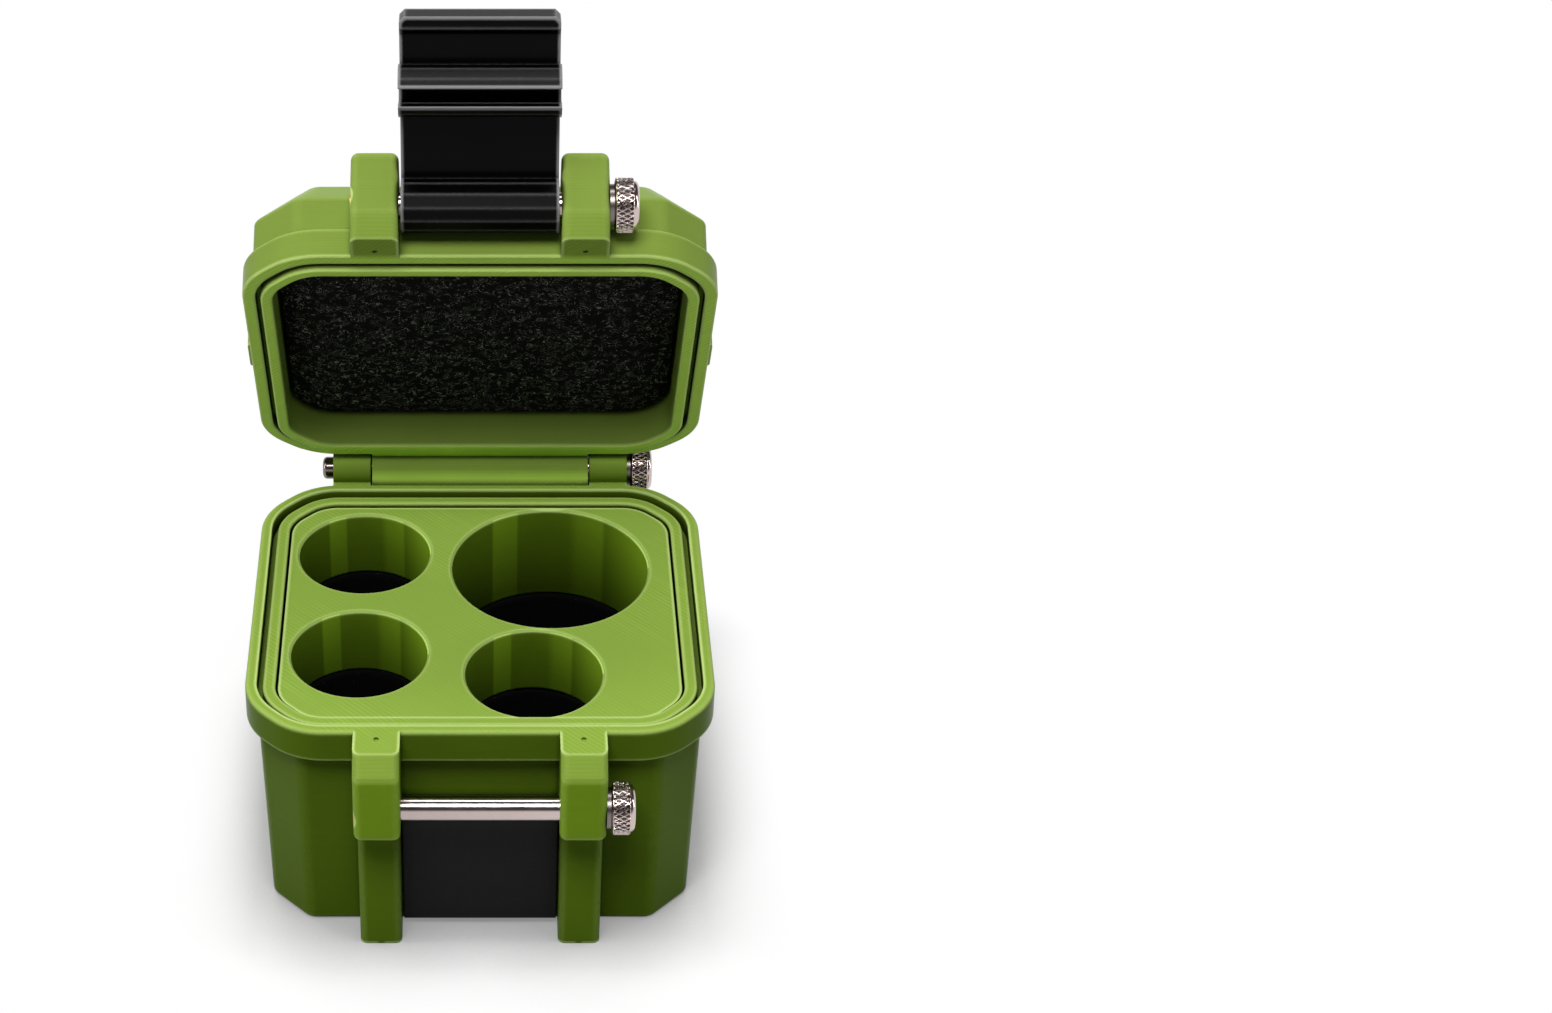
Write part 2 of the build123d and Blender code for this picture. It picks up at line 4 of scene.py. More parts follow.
import bpy
from bpy.props import FloatProperty, FloatVectorProperty, IntProperty, PointerProperty
from mathutils import Matrix, Vector, noise


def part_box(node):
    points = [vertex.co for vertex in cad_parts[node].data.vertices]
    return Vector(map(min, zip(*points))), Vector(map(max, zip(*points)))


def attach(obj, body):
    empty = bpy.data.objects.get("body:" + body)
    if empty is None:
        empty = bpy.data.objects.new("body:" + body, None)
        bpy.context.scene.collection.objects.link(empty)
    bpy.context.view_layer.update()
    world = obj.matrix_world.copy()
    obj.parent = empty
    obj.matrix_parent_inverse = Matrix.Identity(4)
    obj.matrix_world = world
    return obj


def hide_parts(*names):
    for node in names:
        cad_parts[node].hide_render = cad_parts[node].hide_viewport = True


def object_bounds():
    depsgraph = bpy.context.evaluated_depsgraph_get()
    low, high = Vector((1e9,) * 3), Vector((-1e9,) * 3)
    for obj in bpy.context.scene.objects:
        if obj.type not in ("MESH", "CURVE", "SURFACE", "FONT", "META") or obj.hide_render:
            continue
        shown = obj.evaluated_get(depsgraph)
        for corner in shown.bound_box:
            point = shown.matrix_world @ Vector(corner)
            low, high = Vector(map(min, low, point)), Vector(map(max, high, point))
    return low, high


bl_info = {
    "name": "Vial case looks",
    "version": (1, 0, 0),
    "blender": (4, 5, 0),
    "location": "3D View > Sidebar > Vial Case",
    "description": "Dresses a hinged vial case: printed shells, latch, foam and knurled screws",
    "category": "Object",
}

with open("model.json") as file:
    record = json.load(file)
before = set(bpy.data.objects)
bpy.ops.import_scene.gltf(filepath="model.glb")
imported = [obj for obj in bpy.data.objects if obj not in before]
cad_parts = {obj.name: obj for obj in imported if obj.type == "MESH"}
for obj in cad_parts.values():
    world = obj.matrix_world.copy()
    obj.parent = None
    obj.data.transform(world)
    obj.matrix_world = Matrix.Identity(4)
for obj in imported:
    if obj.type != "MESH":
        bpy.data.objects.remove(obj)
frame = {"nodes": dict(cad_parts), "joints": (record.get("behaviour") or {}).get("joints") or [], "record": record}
cad_low, cad_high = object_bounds()

MM = 0.001
NODES = frame["nodes"]
JOINTS = {joint["name"]: joint for joint in frame["joints"]}

# Middle of the small mark in each ear, as the case stands shut
MARK_X = 12.3 * MM
MARK_Y = -26.96 * MM
# The rim's front lies this far behind the marks
MARK_TO_RIM = 1.2 * MM
# Painted reflections on each pocket's back wall: places across a pocket, from its left to its right, and how pale
# the band is there
POCKET_REFLECTION_BANDS = (
    (0.205, 0.0), (0.215, 0.62), (0.335, 0.5), (0.345, 0.0),
    (0.61, 0.0), (0.66, 0.3), (0.78, 0.42), (0.80, 0.0))
# Turn of a print that stands as it was printed
UNTILTED = (0, 0, 0)
# A height in metres that lies below every piece
BELOW_ALL = -1.0
# Steps of a screw's profile in millimetres: along the screw, and in from its full radius
HEAD_SHOULDER = ((0.0, 0.9), (0.06, 0.55), (0.15, 0.08), (0.21, 0.0))
CAP_SHOULDER = ((0.07, 0.05), (0.12, 0.3))
# Each lamp's place and size in metres, and the share of full white that it gives
LAMPS = {
    "key_softbox": ((-0.08, -0.34, 0.72), (0.34, 0.26), 0.78),
    "top_softbox": ((0.02, 0.26, 0.78), (0.40, 0.16), 0.24),
    "left_strip": ((-0.55, -0.05, 0.30), (0.08, 0.45), 0.34),
    "right_strip": ((0.55, -0.05, 0.30), (0.08, 0.45), 0.21),
}


def joint_start(name):
    """Degrees from a joint's lower limit, where the case is shut, to its rest."""
    return -JOINTS[name]["range_deg"][0]


def linear(hex_colour):
    """Turn an sRGB hex colour into linear red, green, blue and alpha."""
    shares = [int(hex_colour[i:i + 2], 16) / 255 for i in (1, 3, 5)]
    return [c / 12.92 if c <= 0.04045 else ((c + 0.055) / 1.055) ** 2.4 for c in shares] + [1.0]


def colour(name, description, hex_colour):
    """Colour property whose default is an sRGB hex value."""
    return FloatVectorProperty(
        name=name, description=description, subtype="COLOR", size=4, min=0, max=1, default=linear(hex_colour))


def length(name, description, millimetres):
    """Length property whose default is given in millimetres."""
    return FloatProperty(
        name=name, description=description, unit="LENGTH", precision=5, min=0, default=millimetres * MM)


def factor(name, description, value, most=1.0):
    """Property for a share of a whole, or for a tone that may be above 1."""
    return FloatProperty(
        name=name, description=description, subtype="FACTOR", min=0, max=most, default=value)


class PrintSettings(bpy.types.PropertyGroup):
    """Printed plastic of the shells, tray, latch and front panel."""
    green: colour("Green", "Colour of the shells on level faces", "#8FAD46")
    # Painted light: the tray's level face is a paler copy of the green
    green_tray_lit: colour("Tray green", "Colour of the tray's level face", "#96B64C")
    # Painted shade on the lid's faces that stand upright when it is shut
    green_lid_upright_shade: colour("Lid green", "Colour of the lid's faces that stand upright when it is shut", "#7E9640")
    # Painted shade: upright faces take this darker green for the shade they get under light from above
    green_upright_shade: colour("Deep green", "Colour of the print's upright faces, between its layers", "#526B13")
    # Painted highlight: the lighter green along thin outer edges
    green_edge_highlight: colour("Green edge", "Colour where the green plastic is thin at its edges", "#CBE48C")
    green_sheen: colour("Green sheen", "Tint of the green plastic's gloss", "#E4F89A")
    latch_black: colour("Latch", "Colour of the snap latch", "#040404")
    # Painted highlight along the latch's edges
    latch_edge_highlight: colour("Latch edge", "Colour of the latch's edges", "#989898")
    # Painted shade: the panel's black stands for the dark on the front wall below the catch
    panel_shade_black: colour("Panel", "Colour of the front panel", "#151515")
    # Painted highlight along the panel's edges
    panel_edge_highlight: colour("Panel edge", "Colour of the panel's edges", "#303030")
    layer_height: length("Layer height", "Pitch of the level print lines on upright faces", 0.36)
    raster_pitch: length("Raster pitch", "Pitch of the diagonal print lines on level faces", 0.55)
    drift_size: length("Drift size", "Size of the patches in which the filament's tone drifts", 12.0)
    grain_size: length("Grain size", "Size of the skin's fine grain", 0.4)
    soft_edge: length("Soft edge", "Radius over which sharp edges catch the light", 0.3)
    # Painted highlight: how far the lighter edge colour reaches
    edge_width: length("Edge width", "How far the lighter edge tone reaches", 0.46)
    # Painted shade falls in gaps and grooves up to this width
    crevice_shade_width: length("Crevice width", "Widest gap or groove that looks dark", 1.1)
    # Within this radius of each mark the painted edge highlight and most of the painted crevice shade are left off
    mark_radius: length("Mark radius", "Radius round the small mark in each ear that shows no edge", 0.8)
    # No painted edge highlight within this radius round the hinge pin
    hinge_unhighlit_radius: length("Rubbed radius", "Radius round the hinge pin in which edges are rubbed down", 3.2)
    # Strength of the painted edge highlight
    edge_share: factor("Edge share", "How strong the edge tone is", 0.85)
    # Painted light on the base's ear fronts and on the lid's rim
    painted_light_tone: factor("Pale skin", "Tone of the proud ears and of the lid's rim", 2.3, most=4.0)
    # Painted light on the ends of the lid's ears
    ear_end_light_tone: factor("Ear end", "Tone of the ends of the lid's ears", 1.05, most=4.0)


class FoamSettings(bpy.types.PropertyGroup):
    """Foam of the lid pad, the pocket block and the pocket discs."""
    black: colour("Foam", "Colour of the foam", "#050505")
    speck: colour("Speck", "Colour of the pale specks and fibres in the foam", "#C4C4C4")
    fibre_share: factor("Fibre share", "How pale the curled fibres are, as a share of the specks", 0.42)
    speck_cell: length("Speck cell", "Room round each place where a speck can be", 0.62)
    curl_size: length("Curl size", "Size of a curl of the fibres", 1.1)
    pore_size: length("Pore size", "Size of the fine pores", 0.5)
    pore_depth: length("Pore depth", "Depth of the fine pores and of the fibres", 0.1)
    cell_size: length("Cell size", "Size of the open cells in the foam's cut faces", 0.7)
    cell_depth: length("Cell depth", "Depth of the open cells", 0.12)
    lid_mesh: length("Lid mesh", "Mesh spacing of the lid's foam", 0.45)
    pocket_mesh: length("Pocket mesh", "Mesh spacing of the foam below the tray", 0.5)
    crown: length("Crown", "How far the lid foam's edges are drawn in from its middle", 0.7)
    crown_run: length("Crown run", "Distance from the edge over which the lid's foam rises", 7.0)


class ScrewSettings(bpy.types.PropertyGroup):
    """Thumb screws, washers and threaded inserts."""
    steel: colour("Steel", "Colour of the stainless screws", "#CDBDB9")
    # Painted shade: the washers' steel is a darker copy of the screws' steel
    washer_steel_shaded: colour("Washer steel", "Colour of the stamped washers", "#7D7472")
    brass: colour("Brass", "Colour of the threaded inserts", "#B9924C")
    steel_rings: length("Steel rings", "Pitch of the turning marks on the screws", 0.06)
    washer_rings: length("Washer rings", "Pitch of the marks on the washers", 0.2)
    brass_rings: length("Brass rings", "Pitch of the turning marks on the inserts", 0.1)
    ring_depth: length("Ring depth", "Depth of the turning marks", 0.01)
    stain_size: length("Stain size", "Size of the patches in which the metal's tone drifts", 1.5)
    shank_radius: length("Shank radius", "Radius of the smooth shank", 1.5)
    tip_round: length("Tip round", "Rounding of the shank's end", 0.6)
    head_length: length("Head length", "Length of the thumb head", 2.9)
    knurl_start: length("Knurl start", "Head's inner face to the knurl", 0.27)
    knurl_end: length("Knurl end", "Head's inner face to the knurl's far end", 2.2)
    cap_round: length("Cap round", "Rounding of the cap's edge", 0.65)
    knurl_depth: length("Knurl depth", "Depth of the diamond knurl", 0.2)
    knurl_pitch: length("Knurl pitch", "Length of one knurl diamond along the screw", 1.2)
    knurl_run_out: length("Knurl run-out", "Distance over which the knurl fades at its ends", 0.12)
    knurl_count: IntProperty(name="Knurl count", description="Diamonds round the head", min=8, default=32)
    # Painted shade on the catch and latch screws' shanks
    shank_shade: factor("Shank grime", "How dull the other screws' shanks are", 0.3)
    # Painted shade on the hinge screw's shank between the knuckles
    hinge_shade: factor("Hinge grime", "How dark the hinge screw's shank is with oil", 0.75)


class StageSettings(bpy.types.PropertyGroup):
    """Floor, lights and camera."""
    floor: colour("Floor", "Colour of the paper floor", "#F7F7F7")
    floor_bounce: factor("Floor bounce", "Share of the paper's light that falls back on the case", 0.35)
    paper_grain: length("Paper grain", "Size of the paper's fibre clumps", 2.0)
    shadow_reach: length("Shadow reach", "How far from the case the paper has run out to white", 11.0)
    # Painted contact shadow: how far beside the case it darkens the paper
    contact_shadow_reach: length("Contact reach", "Distance over which the case darkens the paper beside it", 12.0)
    camera_distance: length("Camera distance", "Camera to the centre of its view", 348.2)
    view_height: length("View height", "Height of the centre of the camera's view", 47.1)
    elevation: FloatProperty(
        name="Elevation", description="Camera angle above level", subtype="ANGLE", default=radians(35.38))
    lens: FloatProperty(
        name="Lens", description="Focal length on a 36 mm sensor", subtype="DISTANCE_CAMERA", default=65.6)
    shift: FloatProperty(name="Shift", description="Sideways shift of the camera's frame", default=0.1907)


GROUPS = {
    "vial_case_print": PrintSettings,
    "vial_case_foam": FoamSettings,
    "vial_case_screws": ScrewSettings,
    "vial_case_stage": StageSettings,
}


def add(tree, kind, inputs=None, **settings):
    """Add a node with its settings and with its inputs set or linked."""
    node = tree.nodes.new(kind)
    for name, value in settings.items():
        setattr(node, name, value)
    for name, value in (inputs or {}).items():
        if isinstance(value, bpy.types.NodeSocket):
            tree.links.new(value, node.inputs[name])
        else:
            node.inputs[name].default_value = value
    return node


def new_material(name):
    """Empty node material and its tree."""
    material = bpy.data.materials.new(name)
    material.use_nodes = True
    material.node_tree.nodes.clear()
    return material, material.node_tree


def close_material(tree, inputs):
    """End a material in a principled shader with the given inputs."""
    shader = add(tree, "ShaderNodeBsdfPrincipled", inputs)
    add(tree, "ShaderNodeOutputMaterial", {"Surface": shader.outputs[0]})


def dress(node, material):
    """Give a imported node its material."""
    for material_slot in NODES[node].material_slots:
        material_slot.material = material


def stripes(tree, position, pitch, wander):
    """Rounded print lines along one coordinate, whose strength changes every few lines."""
    count = add(tree, "ShaderNodeMath", {0: position, 1: 1 / pitch}, operation="MULTIPLY").outputs[0]
    turn = add(tree, "ShaderNodeMath", {0: count, 1: 2 * pi}, operation="MULTIPLY").outputs[0]
    wave = add(tree, "ShaderNodeMath", {0: turn}, operation="SINE").outputs[0]
    uneven = add(
        tree, "ShaderNodeTexNoise", {"W": count, "Scale": 0.37, "Detail": 2.0, "Roughness": 0.7},
        noise_dimensions="1D").outputs[0]
    spread = add(
        tree, "ShaderNodeMath", {0: uneven, 1: wander, 2: -wander / 2}, operation="MULTIPLY_ADD").outputs[0]
    line_share = 0.25
    return add(
        tree, "ShaderNodeMath", {0: wave, 1: line_share, 2: spread}, operation="MULTIPLY_ADD").outputs[0]


def print_lines(tree, axes, upright, settings):
    """Print lines, and how level the face is. They are drawn coarser than the usual
    0.2 mm layers and 0.42 mm raster, which are too fine to show."""
    layers = stripes(tree, axes.outputs["Z"], settings.layer_height, wander=0.9)
    across = add(tree, "ShaderNodeMath", {0: axes.outputs["X"], 1: axes.outputs["Y"]}, operation="ADD")
    raster = stripes(tree, across.outputs[0], settings.raster_pitch * sqrt(2), wander=0.6)
    level = add(tree, "ShaderNodeMapRange", {"Value": upright, "From Min": 0.80, "From Max": 0.97}).outputs[0]
    lines = add(tree, "ShaderNodeMix", {0: level, 2: layers, 3: raster}, data_type="FLOAT").outputs[0]
    return lines, level


def away_from_marks(tree, axes, mark_y, settings):
    """0 at the small mark in each ear, and 1 elsewhere."""
    off_x = add(tree, "ShaderNodeMath", {0: axes.outputs["X"]}, operation="ABSOLUTE").outputs[0]
    off_x = add(tree, "ShaderNodeMath", {0: off_x, 1: MARK_X}, operation="SUBTRACT").outputs[0]
    off_y = add(tree, "ShaderNodeMath", {0: axes.outputs["Y"], 1: mark_y}, operation="SUBTRACT").outputs[0]
    off_mark = add(tree, "ShaderNodeCombineXYZ", {0: off_x, 1: off_y}).outputs[0]
    off_mark = add(tree, "ShaderNodeVectorMath", {0: off_mark}, operation="LENGTH").outputs["Value"]
    fade = 0.2 * MM
    return add(
        tree, "ShaderNodeMapRange",
        {"Value": off_mark, "From Min": settings.mark_radius,
         "From Max": settings.mark_radius + fade}).outputs[0]


def away_from_hinge(tree, place, settings):
    """0 at the hinge knuckles, and 1 elsewhere."""
    low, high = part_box("hinge_screw")
    off_pin = add(
        tree, "ShaderNodeVectorMath", {0: place, 1: (low + high) / 2}, operation="SUBTRACT").outputs[0]
    off_pin = add(tree, "ShaderNodeVectorMath", {0: off_pin, 1: (0, 1, 1)}, operation="MULTIPLY").outputs[0]
    off_pin = add(tree, "ShaderNodeVectorMath", {0: off_pin}, operation="LENGTH").outputs["Value"]
    fade = 1.2 * MM
    return add(
        tree, "ShaderNodeMapRange",
        {"Value": off_pin, "From Min": settings.hinge_unhighlit_radius,
         "From Max": settings.hinge_unhighlit_radius + fade}).outputs[0]


def painted_crevice_shade(tree, off_mark, settings):
    """Painted shade: 1 on open faces, and less in grooves, hinge gaps and inner
    corners. The small marks in the ears are soft and hardly darken."""
    open_share = add(
        tree, "ShaderNodeAmbientOcclusion", {"Distance": settings.crevice_shade_width}, samples=6).outputs["AO"]
    light = add(
        tree, "ShaderNodeMapRange",
        {"Value": open_share, "From Min": 0.3, "From Max": 0.75, "To Min": 0.25}).outputs[0]
    mark_light = 0.8
    marked = add(
        tree, "ShaderNodeMath", {0: off_mark, 1: -mark_light, 2: mark_light}, operation="MULTIPLY_ADD")
    return add(tree, "ShaderNodeMath", {0: light, 1: marked.outputs[0]}, operation="MAXIMUM").outputs[0]


def painted_edge_highlight(tree, height, edge_from, edge_share, masks, settings):
    """Share of the painted edge highlight. It shows beside outer edges, where the piece
    is thin, above a given height and where each mask lets it."""
    depth = add(
        tree, "ShaderNodeAmbientOcclusion", {"Distance": settings.edge_width},
        samples=8, inside=True, only_local=True).outputs["AO"]
    light = add(
        tree, "ShaderNodeMapRange",
        {"Value": depth, "From Min": 0.95, "From Max": 0.76, "To Max": edge_share}).outputs[0]
    above = add(
        tree, "ShaderNodeMapRange",
        {"Value": height, "From Min": edge_from, "From Max": edge_from + MM}).outputs[0]
    for mask in (above, *masks):
        light = add(tree, "ShaderNodeMath", {0: light, 1: mask}, operation="MULTIPLY").outputs[0]
    return light


def printed_plastic(name, plain, upright_shade, edge, tilt, settings, gloss, line_depth, specular,
                    edge_share, tint=(1, 1, 1, 1), tones=None, mark_y=MARK_Y, edge_from=BELOW_ALL):
    """Layer-printed plastic. It has a satin skin with level lines on upright faces and
    a diagonal raster on level ones. Upright faces take a painted shade, grooves and
    inner corners a painted crevice shade, and thin outer edges a painted highlight."""
    material, tree = new_material(name)
    place = add(tree, "ShaderNodeTexCoord").outputs
    position = add(tree, "ShaderNodeMapping", {"Vector": place["Object"], "Rotation": tilt}).outputs[0]
    facing = add(tree, "ShaderNodeMapping", {"Vector": place["Normal"], "Rotation": tilt}).outputs[0]
    axes = add(tree, "ShaderNodeSeparateXYZ", {0: position})
    normal = add(tree, "ShaderNodeSeparateXYZ", {0: facing})
    upright = add(tree, "ShaderNodeMath", {0: normal.outputs["Z"]}, operation="ABSOLUTE").outputs[0]
    lines, level = print_lines(tree, axes, upright, settings)
    drift = add(
        tree, "ShaderNodeTexNoise",
        {"Vector": position, "Scale": 1 / settings.drift_size, "Detail": 3.0, "Roughness": 0.6}).outputs[0]
    grain = add(
        tree, "ShaderNodeTexNoise",
        {"Vector": position, "Scale": 1 / settings.grain_size, "Detail": 2.0, "Roughness": 0.6}).outputs[0]

    # No painted edge highlight is laid on the knuckles' edges round the hinge pin
    off_mark = away_from_marks(tree, axes, mark_y, settings)
    crevice_shade = painted_crevice_shade(tree, off_mark, settings)
    masks = (off_mark, crevice_shade, away_from_hinge(tree, place["Object"], settings))
    edge_highlight_tone = painted_edge_highlight(tree, axes.outputs["Z"], edge_from, edge_share, masks, settings)

    drift_share = 0.16
    tone = add(
        tree, "ShaderNodeMath", {0: drift, 1: drift_share, 2: 1 - drift_share / 2},
        operation="MULTIPLY_ADD").outputs[0]
    # The raster shows in patches, and the level lines of an upright face are fainter
    patch = add(
        tree, "ShaderNodeMapRange",
        {"Value": drift, "From Min": 0.45, "From Max": 0.62, "To Min": 0.08, "To Max": 0.32}).outputs[0]
    faint = add(tree, "ShaderNodeMapRange", {"Value": level, "To Min": 0.35}).outputs[0]
    patch = add(tree, "ShaderNodeMath", {0: patch, 1: faint}, operation="MULTIPLY").outputs[0]
    tone = add(tree, "ShaderNodeMath", {0: lines, 1: patch, 2: tone}, operation="MULTIPLY_ADD").outputs[0]
    # Painted shade darkens grooves, gaps and inner corners
    tone = add(tree, "ShaderNodeMath", {0: tone, 1: crevice_shade}, operation="MULTIPLY").outputs[0]
    # Painted light and shade by place, where a tone function is given
    if tones:
        local = tones(tree, place["Object"], facing, settings)
        tone = add(tree, "ShaderNodeMath", {0: tone, 1: local}, operation="MULTIPLY").outputs[0]
    # Painted shade: upright faces take the shaded colour and level faces the plain one
    lit = add(tree, "ShaderNodeMapRange", {"Value": upright, "From Min": 0.1, "From Max": 0.8}).outputs[0]
    face = add(
        tree, "ShaderNodeMix", {0: lit, 6: list(upright_shade), 7: list(plain)}, data_type="RGBA").outputs[2]
    toned = add(tree, "ShaderNodeVectorMath", {0: face, "Scale": tone}, operation="SCALE").outputs[0]
    # Painted highlight: thin outer edges take the lighter edge colour
    base = add(
        tree, "ShaderNodeMix", {0: edge_highlight_tone, 6: toned, 7: list(edge)}, data_type="RGBA").outputs[2]

    rough_spread = 0.14
    rough = add(
        tree, "ShaderNodeMath", {0: grain, 1: rough_spread, 2: gloss - rough_spread / 2},
        operation="MULTIPLY_ADD").outputs[0]
    rough = add(tree, "ShaderNodeMath", {0: rough, 1: crevice_shade}, operation="DIVIDE").outputs[0]
    grain_share = 0.35
    height = add(
        tree, "ShaderNodeMath", {0: grain, 1: grain_share, 2: lines}, operation="MULTIPLY_ADD").outputs[0]
    bevel = add(tree, "ShaderNodeBevel", {"Radius": settings.soft_edge}, samples=5).outputs[0]
    relief = add(
        tree, "ShaderNodeBump",
        {"Height": height, "Distance": line_depth, "Strength": 1.0, "Normal": bevel}).outputs[0]
    close_material(tree, {
        "Base Color": base, "Roughness": rough, "Normal": relief, "IOR": 1.46,
        "Specular IOR Level": specular, "Specular Tint": tint})
    return material


def painted_ear_light(tree, place, facing, settings):
    """Tone of the base: painted light makes the ears' upright fronts paler than the walls behind them."""
    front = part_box("base_shell")[0].y
    ears_end = 1.5 * MM
    walls_start = 4.8 * MM
    y = add(tree, "ShaderNodeSeparateXYZ", {0: place}).outputs["Y"]
    proud = add(
        tree, "ShaderNodeMapRange",
        {"Value": y, "From Min": front + ears_end, "From Max": front + walls_start,
         "To Min": settings.painted_light_tone - 1, "To Max": 0.0}).outputs[0]
    up = add(tree, "ShaderNodeSeparateXYZ", {0: facing}).outputs["Z"]
    wall = add(
        tree, "ShaderNodeMapRange",
        {"Value": up, "From Min": 0.05, "From Max": 0.5, "To Min": 1.0, "To Max": 0.0}).outputs[0]
    return add(tree, "ShaderNodeMath", {0: proud, 1: wall, 2: 1.0}, operation="MULTIPLY_ADD").outputs[0]


def lid_turn():
    """Turn and shift in depth from the lid as modelled to the lid of the shut case."""
    turn = radians(joint_start("lid_hinge"))
    _, pin_y, pin_z = JOINTS["lid_hinge"]["pos_m"]
    return turn, pin_y * cos(turn) - pin_z * sin(turn) - pin_y


def painted_rim_light(tree, place, facing, settings):
    """Tone of the lid: painted light makes the rim that meets the base paler than the
    rest, and the ends of the ears in front of it are not."""
    turn, shift = lid_turn()
    shut = add(tree, "ShaderNodeMapping", {"Vector": place, "Rotation": (turn, 0, 0)}).outputs[0]
    y = add(tree, "ShaderNodeSeparateXYZ", {0: shut}).outputs["Y"]
    rim_front = MARK_Y + MARK_TO_RIM + shift
    fade = 0.6 * MM
    # Painted light on the lid's rim face, less on the ear ends
    skin = add(
        tree, "ShaderNodeMapRange",
        {"Value": y, "From Min": rim_front - fade, "From Max": rim_front + fade,
         "To Min": settings.ear_end_light_tone, "To Max": settings.painted_light_tone}).outputs[0]
    down = add(tree, "ShaderNodeSeparateXYZ", {0: facing}).outputs["Z"]
    return add(
        tree, "ShaderNodeMapRange",
        {"Value": down, "From Min": -0.95, "From Max": -0.5, "To Min": skin, "To Max": 1.0}).outputs[0]


def painted_pocket_reflection(tree, place, axes, mount):
    """Painted reflection on the back wall of one pocket: how pale it is, from the listed bands."""
    x, y, z = mount["pos_m"]
    radius = mount["dims"]["r_mm"] * MM
    wall_depth = 0.15 * MM
    across = add(
        tree, "ShaderNodeMapRange",
        {"Value": axes.outputs["X"], "From Min": x - radius, "From Max": x + radius}).outputs[0]
    profile = add(tree, "ShaderNodeValToRGB", {"Fac": across})
    for stop_place, pale in POCKET_REFLECTION_BANDS:
        stop = profile.color_ramp.elements.new(stop_place)
        stop.color = (pale, pale, pale, 1.0)
    off_axis = add(tree, "ShaderNodeVectorMath", {0: place, 1: (x, y, z)}, operation="SUBTRACT").outputs[0]
    off_axis = add(tree, "ShaderNodeVectorMath", {0: off_axis, 1: (1, 1, 0)}, operation="MULTIPLY").outputs[0]
    reach = add(tree, "ShaderNodeVectorMath", {0: off_axis}, operation="LENGTH").outputs["Value"]
    inside = add(
        tree, "ShaderNodeMath", {0: reach, 1: radius + wall_depth}, operation="LESS_THAN").outputs[0]
    behind = add(tree, "ShaderNodeMath", {0: axes.outputs["Y"], 1: y}, operation="GREATER_THAN").outputs[0]
    here = add(tree, "ShaderNodeMath", {0: inside, 1: behind}, operation="MULTIPLY").outputs[0]
    return add(
        tree, "ShaderNodeMath", {0: here, 1: profile.outputs["Color"]}, operation="MULTIPLY").outputs[0]


def painted_pocket_light(tree, place, facing, settings):
    """Tone of the tray: two painted reflections as paler upright bands on the back of each
    pocket, and a painted shade that makes its wall deeper towards its floor, where little light comes."""
    axes = add(tree, "ShaderNodeSeparateXYZ", {0: place})
    total = 0.0
    for mount in frame["record"]["mounts"]:
        if mount["kind"] == "bore":
            band = painted_pocket_reflection(tree, place, axes, mount)
            total = add(tree, "ShaderNodeMath", {0: total, 1: band}, operation="ADD").outputs[0]
    # Painted reflection bands are this much paler
    reflection_share = 1.2
    plain_tone = 0.9
    tone = add(
        tree, "ShaderNodeMath", {0: total, 1: reflection_share, 2: plain_tone}, operation="MULTIPLY_ADD").outputs[0]
    # Painted shade: the pocket walls are darker towards their floor and paler at the top
    low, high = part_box("vial_tray")
    bottom = low.z + MM
    top = high.z - 0.5 * MM
    darker = -0.6
    paler = 0.35
    fade = add(
        tree, "ShaderNodeMapRange",
        {"Value": axes.outputs["Z"], "From Min": bottom, "From Max": top,
         "To Min": darker, "To Max": paler}).outputs[0]
    up = add(tree, "ShaderNodeSeparateXYZ", {0: facing}).outputs["Z"]
    wall = add(
        tree, "ShaderNodeMapRange",
        {"Value": up, "From Min": 0.1, "From Max": 0.5, "To Min": 1.0, "To Max": 0.0}).outputs[0]
    fade = add(tree, "ShaderNodeMath", {0: fade, 1: wall, 2: 1.0}, operation="MULTIPLY_ADD").outputs[0]
    return add(tree, "ShaderNodeMath", {0: tone, 1: fade}, operation="MULTIPLY").outputs[0]


